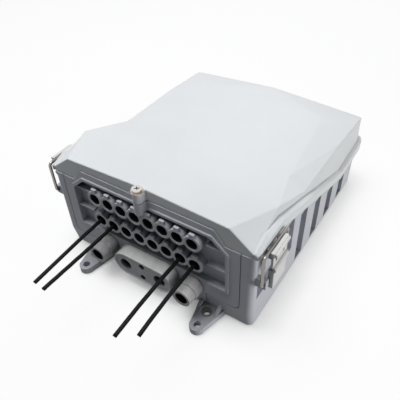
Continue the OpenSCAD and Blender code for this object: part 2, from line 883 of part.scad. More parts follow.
// Slope along the flange's upper edge, swept along the rim
slope_w = 4;
slope_h = 3;
slope_form = [[-slope_w, 0], [slope_w, -2 * slope_h], [slope_w, slope_h], [-slope_w, slope_h]];
slope_points = [for (p = rim_line, q = slope_form) [flange_x + q[0], p[0], p[1] + q[1]]];
slope_last = 4 * (len(rim_line) - 1);
slope_faces = concat(
  [[3, 2, 1, 0], [for (k = [0 : 3]) slope_last + k]],
  [for (i = [0 : 4 : slope_last - 4], k = [0 : 3])
    [i + k, i + (k + 1) % 4, i + 4 + (k + 1) % 4, i + 4 + k]]
);
module flange_slope() polyhedron(slope_points, slope_faces);

lug_low_z = seam_high_z + panel_gap;
lug_top_z = lid_front_z;
module lid_shell() {
  color(pale) difference() {
    union() {
      difference() {
        union() {
          difference() {
            lid_form(0);
            lid_form(lid_wall);
            under_rim(-ledge_t, lid_end_y);
          }
          lid_flange();
        }
        box([-far, -far, 0], [far, lid_y0, far]);
        under_seam(0, lid_end_y);
      }
      translate([0, post_y, lug_low_z]) cylinder(d = post_d, h = lug_top_z - lug_low_z);
      box([-post_d / 2, post_y, lug_low_z], [post_d / 2, lid_y(over), lug_top_z]);
      both_sides() lid_knuckle();
    }
    translate([0, post_y, lug_low_z - over]) cylinder(d = screw_d + slack, h = 60);
    both_sides() translate([0, hinge_y, hinge_z])
      rod_x(pin_d + 2 * pin_gap, hinge_x - knuckle_w, hinge_x + knuckle_w);
  }
}

// Knuckle and arm of the right hinge
module lid_knuckle() {
  x0 = hinge_x - knuckle_w / 2;
  x1 = hinge_x + knuckle_w / 2;
  translate([0, hinge_y, hinge_z]) rod_x(2 * knuckle_r, x0, x1);
  along_x(x0, x1) polygon([
    [flange_y - flange_t, skirt_low_z + over], [flange_y, skirt_low_z + over],
    [hinge_y + knuckle_r, hinge_z], [hinge_y - knuckle_r, hinge_z]
  ]);
}

// Lid screw, its washer and the insert it runs in
washer_t = 1;
head_z = lug_top_z + washer_t;
module lid_screw() {
  cross_w = 1.4;
  cross_l = 6;
  cross_deep = 1.8;
  color(steel) translate([0, post_y, 0]) difference() {
    union() {
      translate([0, 0, head_z]) cylinder(d = head_d, h = head_h);
      translate([0, 0, insert_low_z]) cylinder(d = screw_d, h = head_z - insert_low_z + 0.1);
    }
    for (a = [45, 135]) translate([0, 0, head_z + head_h]) rotate(a)
      cube([cross_l, cross_w, 2 * cross_deep], center = true);
  }
}

module screw_washer() {
  color(steel) translate([0, post_y, lug_top_z]) difference() {
    cylinder(d = washer_d, h = washer_t);
    translate([0, 0, -over]) cylinder(d = screw_d + slack, h = washer_t + 2 * over);
  }
}

module screw_insert() {
  color(brass) translate([0, post_y, insert_low_z]) difference() {
    cylinder(d = insert_d, h = seam_high_z - panel_gap - insert_low_z);
    translate([0, 0, -over]) cylinder(d = screw_d + 4 * snug, h = 40);
  }
}

// Right bail: a wire loop whose ends turn in through the lugs
module bail() {
  color(steel) translate([wire_x, latch_y, 0]) {
    for (s = [-1, 1]) translate([0, s * bail_w / 2, 0]) {
      translate([0, 0, bail_low_z]) cylinder(d = wire_d, h = bail_top_z - bail_low_z);
      for (z = [bail_low_z, bail_top_z]) translate([0, 0, z]) sphere(d = wire_d);
      in = bail_w / 2 - lug_end + latch_lug_t;
      translate([0, 0, bail_low_z]) rod_y(wire_d, s > 0 ? -in : 0, s > 0 ? 0 : in);
    }
    translate([0, 0, bail_top_z]) rod_y(wire_d, -bail_w / 2, bail_w / 2);
  }
}
module bail_right() bail();
module bail_left() mirror([1, 0, 0]) bail();

// Right lever: open hooks on the bail's bar, a head bar, a slotted plate, a waist and a thick grip
hook_r = wire_d / 2 + 1.6;
hook_w = 6;
hook_open = 0.8;
lever_x1 = wire_x + wire_d / 2 + 4.5;
lever_x0 = lever_x1 - lever_t;
lever_step = 0.6;
head_half = lever_w / 2 + 0.5;
head_z0 = bail_top_z - 5;
head_z1 = bail_top_z + 1.5;
grip_half = min(grip_w / 2, lug_end - latch_lug_t - 0.5);
grip_x0 = wire_x + 0.5;
grip_x1 = lever_x1 + 0.8;
grip_z1 = lever_low_z + grip_h;
waist_h = 4.5;
waist_in = 4;
slot_w = 4;
slot_h = 5;
slot_off = 8.5;
slot_low = 11;
module lever() {
  color(grey) difference() {
    translate([0, latch_y, 0]) {
      for (s = [-1, 1]) translate([wire_x, s * (head_half - hook_w), bail_top_z]) {
        difference() {
          rod_y(2 * hook_r, -hook_w / 2, hook_w / 2);
          box([-2 * hook_r, -hook_w, hook_open], [2 * hook_r, hook_w, 2 * hook_r]);
        }
        box([0, -hook_w / 2, -hook_r], [lever_x1 - wire_x - over, hook_w / 2, hook_open]);
      }
      box([wire_x + wire_d / 2 + slack, -head_half, head_z0], [lever_x1, head_half, head_z1]);
      difference() {
        box([lever_x0, -lever_w / 2, grip_z1 + waist_h],
            [lever_x1 - lever_step, lever_w / 2, head_z0 + over]);
        for (s = [-1, 1]) translate([0, s * slot_off, head_z0 - slot_low])
          box([lever_x0 - over, -slot_w / 2, 0], [lever_x1, slot_w / 2, slot_h]);
      }
      box([lever_x0, -lever_w / 2 + waist_in, grip_z1 - over],
          [lever_x1 - 2 * lever_step, lever_w / 2 - waist_in, grip_z1 + waist_h + over]);
      box([grip_x0, -grip_half, lever_low_z], [grip_x1, grip_half, grip_z1]);
    }
    translate([wire_x, 0, bail_top_z]) rod_y(wire_d + 2 * wire_gap, latch_y - bail_w, latch_y + bail_w);
  }
}
module lever_right() lever();
module lever_left() mirror([1, 0, 0]) lever();

// Mounting plate with its posts for the tray
tray_margin = 10;
tray_inset = 12;
tray_y1 = plate_y1 - tray_margin;
tray_y0 = tray_y1 - tray_l;
tray_z = plate_top + tray_post;
tray_holes = [for (s = [-1, 1], y = [tray_y0 + tray_inset, tray_y1 - tray_inset])
  [s * (tray_w / 2 - tray_inset), y]];
conn_end_y = -117;
conn_l = 16;
adapter_y0 = conn_end_y + conn_l;
bracket_y = adapter_y0 + adapter_l / 2;
bracket_foot = 16;
bracket_x = 86;
bracket_holes = [for (s = [-1, 1]) [s * (bracket_x - 10), bracket_y + bracket_foot / 2 + 1]];
clamp_y0 = plate_y0 + 3;
clamp_w = 14;
clamp_half = 16;
clamp_holes = [for (s = [-1, 1], t = [-1, 1])
  [s * entry_x + t * (clamp_half - 3.5), clamp_y0 + clamp_w / 2]];
module mount_plate() {
  color(steel) difference() {
    union() {
      translate([0, 0, plate_z]) linear_extrude(plate_t) plan(plate_x, plate_y0, plate_y1, 6);
      for (p = tray_holes) translate([p[0], p[1], plate_top - over]) cylinder(d = 8, h = tray_post + over);
    }
    for (p = concat(plate_holes, tray_holes, bracket_holes, clamp_holes))
      translate([p[0], p[1], plate_z - over]) cylinder(d = small_d + 2 * snug, h = 40);
  }
}

module plate_screws() {
  color(steel) for (p = plate_holes) translate([p[0], p[1], plate_top])
    screw(small_d, small_head, plate_t + standoff_h - over);
}

// Splice tray with its cover, combs and sleeves
module splice_tray() {
  color(pale) difference() {
    translate([0, 0, tray_z]) linear_extrude(tray_h) plan(tray_w / 2, tray_y0, tray_y1, 10);
    translate([0, 0, tray_z + tray_wall]) linear_extrude(tray_h)
      plan(tray_w / 2 - tray_wall, tray_y0 + tray_wall, tray_y1 - tray_wall, 10 - tray_wall);
    for (p = tray_holes) translate([p[0], p[1], tray_z - over]) cylinder(d = small_d + 2 * snug, h = 40);
    for (s = [-1, 1]) box([s * tray_w / 4 - 8, tray_y0 - over, tray_z + tray_wall + 4],
                          [s * tray_w / 4 + 8, tray_y0 + tray_wall + over, tray_z + tray_h + over]);
  }
}

module tray_cover() {
  color([0.75, 0.80, 0.83]) translate([0, 0, tray_z + tray_h]) linear_extrude(tray_wall)
    plan(tray_w / 2, tray_y0, tray_y1, 10);
}

module tray_screws() {
  color(steel) for (p = tray_holes)
    translate([p[0], p[1], tray_z + tray_wall]) screw(small_d, small_head, tray_wall + tray_post - over);
}

comb_x = tray_w / 4;
comb_y = (tray_y0 + tray_y1) / 2;
comb_l = 20;
comb_h = 8;
comb_n = 6;
comb_base = 2;
function sleeve_x(i) = (i - (comb_n - 1) / 2) * sleeve_pitch;
module splice_combs() {
  color(grey) for (s = [-1, 1]) translate([s * comb_x, comb_y, tray_z + tray_wall]) difference() {
    half = comb_n * sleeve_pitch / 2 + 1;
    box([-half, -comb_l / 2, 0], [half, comb_l / 2, comb_h]);
    for (i = [0 : comb_n - 1]) box([sleeve_x(i) - sleeve_d / 2 - snug, -comb_l, comb_base],
                                   [sleeve_x(i) + sleeve_d / 2 + snug, comb_l, comb_h + over]);
  }
}

module splice_sleeves() {
  color([0.85, 0.87, 0.88]) for (s = [-1, 1], i = [0 : comb_n - 1])
    translate([s * comb_x + sleeve_x(i), comb_y, tray_z + tray_wall + comb_base + sleeve_d / 2])
      rod_y(sleeve_d, -sleeve_l / 2, sleeve_l / 2);
}

// Splitter module between the bracket and the tray
splitter_x = 36;
splitter_h = 12;
splitter_gap = 8;
splitter_pitch = 8;
splitter_boot = 4;
splitter_y0 = bracket_y + bracket_foot + splitter_gap;
module splitter_module() {
  color([0.30, 0.31, 0.33]) {
    translate([0, 0, plate_top]) linear_extrude(splitter_h) plan(splitter_x, splitter_y0, tray_y0 - 6, 3);
    for (i = [0 : 7]) translate([(i - 3.5) * splitter_pitch, 0, plate_top + splitter_h / 2])
      rod_y(splitter_boot, splitter_y0 - splitter_boot, splitter_y0 + over);
  }
}

// Adapter bracket with two rows of adapters
adapter_w = 12.6;
adapter_h = 9;
socket_w = 8.6;
socket_h = 6.6;
socket_deep = 9;
cable_end_z = 54;
adapter_zs = [plate_top + adapter_low, cable_end_z];
bracket_top = cable_end_z + adapter_h / 2 + 6;
module each_adapter() for (x = ports, z = adapter_zs) translate([x, adapter_y0, z]) children();
module adapter_bracket() {
  color(steel) difference() {
    union() {
      box([-bracket_x, bracket_y, plate_top], [bracket_x, bracket_y + bracket_t, bracket_top]);
      box([-bracket_x, bracket_y, plate_top], [bracket_x, bracket_y + bracket_foot, plate_top + bracket_t]);
    }
    each_adapter() box([-adapter_w / 2 - snug, 0, -adapter_h / 2 - snug],
                       [adapter_w / 2 + snug, adapter_l, adapter_h / 2 + snug]);
    for (p = bracket_holes) translate([p[0], p[1], plate_top - over]) cylinder(d = small_d + 2 * snug, h = 6);
  }
}

module bracket_screws() {
  color(steel) for (p = bracket_holes)
    translate([p[0], p[1], plate_top + bracket_t]) screw(small_d, small_head, bracket_t + plate_t);
}

module adapters() {
  color(green) each_adapter() difference() {
    union() {
      box([-adapter_w / 2, 0, -adapter_h / 2], [adapter_w / 2, adapter_l, adapter_h / 2]);
      box([-adapter_w / 2 - 2, adapter_l / 2 - 2, -adapter_h / 2 - 2],
          [adapter_w / 2 + 2, adapter_l / 2, adapter_h / 2 + 2]);
    }
    for (y = [-over, adapter_l - socket_deep])
      box([-socket_w / 2, y, -socket_h / 2], [socket_w / 2, y + socket_deep + over, socket_h / 2]);
  }
}

module drop_connectors() {
  nose = socket_deep - over;
  color([0.2, 0.35, 0.6]) for (x = cable_x) translate([x, conn_end_y, cable_end_z]) {
    box([-4.6, 0, -3.8], [4.6, conn_l, 3.8]);
    box([-socket_w / 2 + snug, conn_l - over, -socket_h / 2 + snug],
        [socket_w / 2 - snug, conn_l + nose, socket_h / 2 - snug]);
  }
}

// Saddles for the feeder cables behind the round entries
module cable_clamps() {
  color(grey) for (s = [-1, 1]) translate([s * entry_x, clamp_y0, 0]) difference() {
    box([-clamp_half, 0, plate_top], [clamp_half, clamp_w, entry_z]);
    translate([0, 0, entry_z]) rod_y(entry_bore, -over, clamp_w + over);
    for (t = [-1, 1]) translate([t * (clamp_half - 3.5), clamp_w / 2, plate_top - over])
      cylinder(d = small_d + 2 * snug, h = 60);
  }
}

module clamp_screws() {
  color(steel) for (p = clamp_holes) translate([p[0], p[1], entry_z])
    screw(small_d, small_head, entry_z - plate_z);
}

// Drop cables: routes as [y, z] at each port, outer end first
inner_route = [
  [-171, 78], [-161, 78], [-153, 78], [-148, 77.5], [-143, 75], [-139, 71], [-135, 66],
  [-131, 61], [-126, 57], [-121, 54.5], [-117, 54]
];
routes = [
  [[-281, 74], [-271, 74.5], [-261, 75], [-251, 75.5], [-241, 76], [-231, 76.5], [-221, 77],
   [-211, 77.5], [-201, 78], [-191, 78], [-181, 78]],
  [[-285, 80], [-275, 80], [-265, 79.5], [-255, 79.5], [-245, 79], [-235, 79], [-225, 78.5],
   [-215, 78.5], [-205, 78], [-193, 78], [-181, 78]],
  [[-285, 72], [-275, 73], [-265, 74], [-255, 75], [-245, 76], [-235, 76.5], [-225, 77],
   [-215, 77.5], [-205, 78], [-193, 78], [-181, 78]],
  [[-271, 71], [-261, 72.5], [-251, 74], [-241, 75], [-231, 76], [-221, 77],
   [-211, 77.5], [-201, 78], [-191, 78], [-181, 78]]
];
cord_sides = 8;
function unit(v) = v / norm(v);
function way(route, i) = unit(route[min(i + 1, len(route) - 1)] - route[max(i - 1, 0)]);
function cord_ring(p, w, x) = [for (k = [0 : cord_sides - 1])
  let (a = 360 * k / cord_sides, r = cable_d / 2)
  [x + r * cos(a), p[0] - r * sin(a) * w[1], p[1] + r * sin(a) * w[0]]];
module cord(x, route) {
  n = len(route);
  points = [for (i = [0 : n - 1]) each cord_ring(route[i], way(route, i), x)];
  sides = [for (i = [0 : n - 2], k = [0 : cord_sides - 1])
    let (a = i * cord_sides + k, b = i * cord_sides + (k + 1) % cord_sides)
    each [[a, a + cord_sides, b], [b, a + cord_sides, b + cord_sides]]];
  caps = [[for (k = [0 : cord_sides - 1]) k], [for (k = [cord_sides - 1 : -1 : 0]) (n - 1) * cord_sides + k]];
  color(rubber) polyhedron(points, concat(sides, caps));
}
module drop_cable_1() cord(cable_x[0], concat(routes[0], inner_route));
module drop_cable_2() cord(cable_x[1], concat(routes[1], inner_route));
module drop_cable_3() cord(cable_x[2], concat(routes[2], inner_route));
module drop_cable_4() cord(cable_x[3], concat(routes[3], inner_route));

base_shell();
port_panel();
panel_gasket();
panel_screws();
port_plugs();
cable_seals();
entry_sleeve_left();
entry_sleeve_right();
entry_plugs();
oval_entry();
oval_seal();
ear_bushes();
lid_gasket();
screw_insert();
hinge_pins();
mount_plate();
plate_screws();
splice_tray();
tray_cover();
tray_screws();
splice_combs();
splice_sleeves();
splitter_module();
adapter_bracket();
bracket_screws();
adapters();
drop_connectors();
cable_clamps();
clamp_screws();
lid_shell();
lid_screw();
screw_washer();
bail_left();
bail_right();
lever_left();
lever_right();
drop_cable_1();
drop_cable_2();
drop_cable_3();
drop_cable_4();
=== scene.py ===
"""Dresses the packed fibre termination box: finishes, drop cables, latches, entry liners and studio."""

import math

import bmesh
import bpy
from bpy.props import FloatProperty, FloatVectorProperty, PointerProperty
from mathutils import Matrix, Vector


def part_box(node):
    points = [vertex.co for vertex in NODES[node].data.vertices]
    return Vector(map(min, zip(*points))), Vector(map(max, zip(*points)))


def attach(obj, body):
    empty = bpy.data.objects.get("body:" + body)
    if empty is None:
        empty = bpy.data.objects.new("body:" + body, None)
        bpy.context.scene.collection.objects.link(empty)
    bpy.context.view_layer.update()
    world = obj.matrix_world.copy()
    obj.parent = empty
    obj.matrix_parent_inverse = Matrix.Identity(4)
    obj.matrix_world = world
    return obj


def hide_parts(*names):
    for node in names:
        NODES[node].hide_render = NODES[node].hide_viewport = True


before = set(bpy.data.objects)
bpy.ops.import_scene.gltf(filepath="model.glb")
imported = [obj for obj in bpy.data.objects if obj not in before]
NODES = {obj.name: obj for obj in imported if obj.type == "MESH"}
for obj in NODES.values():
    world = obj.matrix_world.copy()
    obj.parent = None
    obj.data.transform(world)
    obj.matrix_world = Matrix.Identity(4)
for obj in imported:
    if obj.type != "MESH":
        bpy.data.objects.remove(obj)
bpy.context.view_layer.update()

bl_info = {
    "name": "Fibre termination box",
    "version": (1, 0, 0),
    "blender": (4, 5, 0),
    "location": "View3D > Sidebar > Termination box",
    "description": "Finishes, drop cables, latches, entry liners and studio for the packed termination box",
    "category": "Object",
}

SIDES = ("left", "right")
ACROSS = Vector((1, 0, 0))


# Sizes and colours that a user would change

class CaseLook(bpy.types.PropertyGroup):
    """Colours and surface of the moulded case."""
    case_colour: FloatVectorProperty(
        name="Case", description="Colour of the base and the port panel",
        subtype="COLOR", size=3, min=0, max=1, default=(0.565, 0.582, 0.625))
    lid_colour: FloatVectorProperty(
        name="Lid", description="Colour of the lid",
        subtype="COLOR", size=3, min=0, max=1, default=(0.735, 0.757, 0.773))
    latch_colour: FloatVectorProperty(
        name="Latch levers", description="Colour of the latch levers",
        subtype="COLOR", size=3, min=0, max=1, default=(0.72, 0.72, 0.705))
    entry_colour: FloatVectorProperty(
        name="Round entries", description="Colour of the two round entries",
        subtype="COLOR", size=3, min=0, max=1, default=(0.52, 0.505, 0.51))
    oval_colour: FloatVectorProperty(
        name="Oval entry", description="Colour of the oval entry",
        subtype="COLOR", size=3, min=0, max=1, default=(0.70, 0.695, 0.685))
    entry_bore: FloatProperty(
        name="Entry bore", description="Bore of a round entry", unit="LENGTH", default=0.017)
    liner_wall: FloatProperty(
        name="Liner", description="Wall of the rubber liner in a round entry", unit="LENGTH", default=0.0005)
    liner_set: FloatProperty(
        name="Liner set back", description="How far the liner starts behind the mouth",
        unit="LENGTH", default=0.001)
    liner_deep: FloatProperty(
        name="Liner length", description="Length of the rubber liner", unit="LENGTH", default=0.0139)
    seal_colour: FloatVectorProperty(
        name="Oval seal", description="Colour of the rubber block in the oval entry",
        subtype="COLOR", size=3, min=0, max=1, default=(0.6, 0.605, 0.62))
    rubber_colour: FloatVectorProperty(
        name="Black rubber", description="Colour of plugs and gaskets",
        subtype="COLOR", size=3, min=0, max=1, default=(0.006, 0.006, 0.007))
    grain: FloatProperty(
        name="Grain", description="Grains of the moulded texture for each metre",
        min=100, max=4000, default=1100)
    edge: FloatProperty(
        name="Edge radius", description="Radius of the moulded edges",
        unit="LENGTH", min=0.0001, max=0.003, default=0.0007)
    lid_edge: FloatProperty(
        name="Lid edge radius", description="Radius of the edges between the faces of the lid",
        unit="LENGTH", min=0.0001, max=0.006, default=0.0032)


class CableLook(bpy.types.PropertyGroup):
    """Sizes and colour of the flat drop cables."""
    width: FloatProperty(
        name="Width", description="Width of the jacket",
        unit="LENGTH", min=0.002, max=0.006, default=0.0048)
    thickness: FloatProperty(
        name="Thickness", description="Thickness of the jacket",
        unit="LENGTH", min=0.001, max=0.005, default=0.0038)
    notch: FloatProperty(
        name="Notch", description="Depth of the tear notch along the jacket",
        unit="LENGTH", min=0, max=0.001, default=0.0006)
    colour: FloatVectorProperty(
        name="Jacket", description="Colour of the jacket",
        subtype="COLOR", size=3, min=0, max=1, default=(0.005, 0.005, 0.006))


class LatchLook(bpy.types.PropertyGroup):
    """Sizes and colour of the wire bails, and sizes of the ribs on the levers."""
    bend: FloatProperty(
        name="Bend", description="Radius of the wire's bends at its middle",
        unit="LENGTH", min=0.002, max=0.008, default=0.0042)
    tail: FloatProperty(
        name="Tail", description="Length of the wire's ends in the lugs",
        unit="LENGTH", min=0.004, max=0.012, default=0.0095)
    wire_colour: FloatVectorProperty(
        name="Wire", description="Colour of the bent wire",
        subtype="COLOR", size=3, min=0, max=1, default=(0.29, 0.268, 0.252))
    grip_step: FloatProperty(
        name="Grip step", description="How far the grip stands before the head",
        unit="LENGTH", default=0.0008)
    head_tall: FloatProperty(
        name="Head", description="Height of the lever's head", unit="LENGTH", default=0.0065)
    bar_tall: FloatProperty(
        name="Bar height", description="Height of the bar on the head", unit="LENGTH", default=0.0046)
    bar_proud: FloatProperty(
        name="Bar proud", description="How far the bar stands out", unit="LENGTH", default=0.0026)
    rib_in: FloatProperty(
        name="Bar inset", description="How far the bar ends short of the head",
        unit="LENGTH", default=0.0008)
    roll_radius: FloatProperty(
        name="Roll", description="Radius of the roll across the waist", unit="LENGTH", default=0.004)
    roll_sunk: FloatProperty(
        name="Roll sunk", description="How far the roll's middle lies inside the plate",
        unit="LENGTH", default=0.001)
    roll_up: FloatProperty(
        name="Roll height", description="Height of the roll over the lever's free end",
        unit="LENGTH", default=0.0303)
    roll_in: FloatProperty(
        name="Roll inset", description="How far the roll ends short of the head",
        unit="LENGTH", default=0.0012)
    rib_edge: FloatProperty(
        name="Rib edge", description="Rounding of the ribs' edges", unit="LENGTH", default=0.0005)


class HardwareLook(bpy.types.PropertyGroup):
    """Colours of the metal pieces."""
    steel_colour: FloatVectorProperty(
        name="Steel", description="Colour of the small screws and hinge pins",
        subtype="COLOR", size=3, min=0, max=1, default=(0.46, 0.43, 0.40))
    bush_colour: FloatVectorProperty(
        name="Bushes", description="Colour of the bushes in the ears",
        subtype="COLOR", size=3, min=0, max=1, default=(0.42, 0.41, 0.40))
    screw_colour: FloatVectorProperty(
        name="Lid screw", description="Colour of the lid screw",
        subtype="COLOR", size=3, min=0, max=1, default=(0.58, 0.56, 0.54))
    washer_colour: FloatVectorProperty(
        name="Washer", description="Colour of the washer under the lid screw",
        subtype="COLOR", size=3, min=0, max=1, default=(0.62, 0.52, 0.45))
    zinc_colour: FloatVectorProperty(
        name="Zinc", description="Colour of the sheet metal inside",
        subtype="COLOR", size=3, min=0, max=1, default=(0.60, 0.62, 0.63))
    brass_colour: FloatVectorProperty(
        name="Brass", description="Colour of the threaded insert",
        subtype="COLOR", size=3, min=0, max=1, default=(0.72, 0.52, 0.22))


class InsideLook(bpy.types.PropertyGroup):
    """Colours of the pieces inside."""
    tray_colour: FloatVectorProperty(
        name="Tray", description="Colour of the splice tray",
        subtype="COLOR", size=3, min=0, max=1, default=(0.76, 0.77, 0.77))
    cover_colour: FloatVectorProperty(
        name="Cover", description="Colour of the tray's clear cover",
        subtype="COLOR", size=3, min=0, max=1, default=(0.80, 0.85, 0.87))
    sleeve_colour: FloatVectorProperty(
        name="Sleeves", description="Colour of the splice sleeves",
        subtype="COLOR", size=3, min=0, max=1, default=(0.86, 0.87, 0.88))
    splitter_colour: FloatVectorProperty(
        name="Splitter", description="Colour of the splitter",
        subtype="COLOR", size=3, min=0, max=1, default=(0.06, 0.063, 0.068))
    adapter_colour: FloatVectorProperty(
        name="Adapters", description="Colour of the adapters",
        subtype="COLOR", size=3, min=0, max=1, default=(0.03, 0.24, 0.10))
    connector_colour: FloatVectorProperty(
        name="Connectors", description="Colour of the cables' connectors",
        subtype="COLOR", size=3, min=0, max=1, default=(0.03, 0.13, 0.40))


class StudioLook(bpy.types.PropertyGroup):
    """Camera and light."""
    camera_place: FloatVectorProperty(
        name="Camera", description="Where the camera stands",
        subtype="XYZ", unit="LENGTH", size=3, default=(0.27993, -0.45576, 0.49699))
    azimuth: FloatProperty(
        name="Azimuth", description="Turn of the camera round the box",
        subtype="ANGLE", default=math.radians(34.67))
    elevation: FloatProperty(
        name="Elevation", description="How steeply the camera looks down",
        subtype="ANGLE", default=math.radians(42.01))
    roll: FloatProperty(
        name="Roll", description="Roll of the camera", subtype="ANGLE", default=math.radians(-2.316))
    lens: FloatProperty(
        name="Lens", description="Focal length in millimetres", unit="CAMERA", default=43.314)
    sensor: FloatProperty(
        name="Sensor", description="Width of the sensor in millimetres", unit="CAMERA", default=36)
    top: FloatProperty(
        name="Top light", description="Power of the overhead light", unit="POWER", default=18)
    back: FloatProperty(
        name="Back light", description="Power of the light behind", unit="POWER", default=5)
    side: FloatProperty(
        name="Side light", description="Power of the light at the right", unit="POWER", default=14.5)
    fill: FloatProperty(
        name="Fill", description="Strength of the surrounding light",
        subtype="FACTOR", min=0, max=1, default=0.1)


# Shader building

class Signal:
    """A socket whose arithmetic adds Math nodes to its material."""

    def __init__(self, paint, socket):
        self.paint = paint
        self.socket = socket

    def _math(self, operation, first, second):
        return self.paint.node("ShaderNodeMath", {"operation": operation}, {0: first, 1: second})

    def __add__(self, other):
        return self._math("ADD", self, other)

    def __sub__(self, other):
        return self._math("SUBTRACT", self, other)

    def __rsub__(self, other):
        return self._math("SUBTRACT", other, self)

    def __mul__(self, other):
        return self._math("MULTIPLY", self, other)

    def __pow__(self, other):
        return self._math("POWER", self, other)

    def __rpow__(self, other):
        return self._math("POWER", other, self)

    __radd__ = __add__
    __rmul__ = __mul__


class Paint:
    """A node tree under construction."""

    def __init__(self, tree):
        self.tree = tree
        tree.nodes.clear()

    def node(self, kind, settings=None, inputs=None, out=0):
        """Adds a node, sets its settings, then its sockets, and returns one of its outputs."""
        made = self.tree.nodes.new(kind)
        for name, value in (settings or {}).items():
            setattr(made, name, value)
        for name, value in (inputs or {}).items():
            socket = made.inputs[name]
            if isinstance(value, Signal):
                self.tree.links.new(value.socket, socket)
            else:
                socket.default_value = value
        return Signal(self, made.outputs[out]) if made.outputs else None

    def blend(self, factor, first, second):
        """Mixes two colours."""
        return self.node(
            "ShaderNodeMix", {"data_type": "RGBA"}, {0: factor, 6: first, 7: second}, out=2)

    def here(self):
        """The place on the piece, in metres of the shared frame."""
        return self.node("ShaderNodeTexCoord", out="Object")

    def facing(self):
        """The normal, in the axes of the piece."""
        return self.node("ShaderNodeTexCoord", out="Normal")

    def noise(self, scale, detail=2.0, roughness=0.5, where=None):
        """Cloudy noise, with its scale in lumps for each metre."""
        return self.node("ShaderNodeTexNoise", {}, {
            "Vector": where or self.here(), "Scale": scale, "Detail": detail, "Roughness": roughness})

    def stretched(self, scale):
        """The place, scaled by a different amount along each axis."""
        return self.node("ShaderNodeMapping", {}, {"Vector": self.here(), "Scale": scale})

    def apart(self, vector):
        """The x, y and z of a vector."""
        return [self.node("ShaderNodeSeparateXYZ", {}, {0: vector}, out=axis) for axis in range(3)]

    def above(self, first, second):
        """1 where the first value is above the second, and 0 elsewhere."""
        return self.node("ShaderNodeMath", {"operation": "GREATER_THAN"}, {0: first, 1: second})

    def open_to(self, reach):
        """1 in the open, falling to 0 where other surfaces stand close within the reach."""
        return self.node("ShaderNodeAmbientOcclusion", {"samples": 8}, {"Distance": reach}, out="AO")

    def vector(self, operation, first, second):
        """Vector arithmetic."""
        return self.node("ShaderNodeVectorMath", {"operation": operation}, {0: first, 1: second})

    def bump(self, height, distance, strength, normal=None):
        """The normal, tilted by a height."""
        inputs = {"Height": height, "Distance": distance, "Strength": strength}
        if normal:
            inputs["Normal"] = normal
        return self.node("ShaderNodeBump", {}, inputs)


def rgba(colour, gain=1.0):
    """A colour for a socket, made lighter or darker by the gain."""
    return (*(min(1.0, c * gain) for c in colour), 1.0)


def surface(name, inputs_for, fixed):
    """A material with one Principled shader: fixed numbers on its sockets, the rest from inputs_for."""
    material = bpy.data.materials.new(name)
    material.use_nodes = True
    paint = Paint(material.node_tree)
    shader = paint.node("ShaderNodeBsdfPrincipled", {}, {**fixed, **inputs_for(paint)})
    paint.node("ShaderNodeOutputMaterial", {}, {"Surface": shader})
    return material


# How far the painted shade reaches out of creases and hollows, in metres
CREASE_REACH = 0.014
HOLLOW_REACH = 0.04
RUBBER_REACH = 0.03
# Tone of the painted shade in a crease and in a deep hollow, as shares of the plastic's own colour
CREASE_TONE = 0.35
HOLLOW_TONE = 0.05


def moulded_plastic(name, colour, rough=0.42, grain=1100, depth=0.00002, edge=0.0007, crease_shade=0.3,
                    deep=1.6, swell=None, scuff=0.0, shadow_share=None):
    """Injection-moulded plastic: fine grain, cloudy tone, painted shade in the creases and softened edges.

    crease_shade and deep paint shade into creases and hollows, and scuff rubs and stains the skin.
    swell bends the normals, and shadow_share gives the share of painted shadow laid on the surface.
    """
    def inputs(p):
        speckle = p.noise(grain, 3, 0.6)
        cloud = p.noise(11, 3, 0.55)
        tone = p.blend(cloud, rgba(colour, 0.95), rgba(colour, 1.05))
        tone = p.blend(speckle * 0.12, tone, rgba(colour, 0.8))
        if scuff:
            rubbed = p.node("ShaderNodeMapRange", {}, {0: p.noise(150, 4, 0.62), 1: 0.42, 2: 0.62})
            tone = p.blend(rubbed * scuff, tone, rgba([c + 0.22 * (1 - c) for c in colour]))
            stained = p.node("ShaderNodeMapRange", {}, {0: p.noise(95, 4, 0.6), 1: 0.5, 2: 0.68})
            tone = p.blend(stained * scuff, tone, rgba(colour, 0.62))
        # Painted shade: the colour darkens in creases and deep hollows, where other surfaces stand close
        tone = p.blend((1 - p.open_to(CREASE_REACH)) * crease_shade, tone, rgba(colour, CREASE_TONE))
        tone = p.blend((1 - p.open_to(HOLLOW_REACH)) ** 5 * deep, tone, rgba(colour, HOLLOW_TONE))
        # Painted shadow, in the share that the caller gives
        if shadow_share:
            tone = p.blend(shadow_share(p), tone, rgba(colour, HOLLOW_TONE))
        soft = p.node("ShaderNodeBevel", {"samples": 4}, {"Radius": edge})
        if swell:
            soft = swell(p, soft)
        return {
            "Base Color": tone,
            "Roughness": rough + (speckle - 0.5) * 0.16 + (cloud - 0.5) * 0.1,
            "Normal": p.bump(speckle, depth, 0.35, soft),
        }
    return surface(name, inputs, {"IOR": 1.46, "Specular IOR Level": 0.22})


def matt_rubber(name, colour, rough=0.72):
    """Rubber: dusty bloom over a fine pitted skin, with painted shade in its hollows."""
    def inputs(p):
        bloom = p.noise(60, 4, 0.65)
        pits = p.noise(2200, 2, 0.5)
        tone = p.blend(bloom, rgba(colour, 0.7), rgba(colour, 1.35))
        # Painted shade: darker in hollows, where other surfaces stand close
        tone = p.blend((1 - p.open_to(RUBBER_REACH)) ** 2 * 1.8, tone, rgba(colour, 0.06))
        return {
            "Base Color": tone,
            "Roughness": rough + (bloom - 0.5) * 0.2,
            "Normal": p.bump(pits, 0.00003, 0.4),
        }
    return surface(name, inputs, {"IOR": 1.5, "Specular IOR Level": 0.12})


# Colour of the painted shade in the recesses of metal
RECESS_SHADE_TONE = (0.03, 0.024, 0.02, 1)


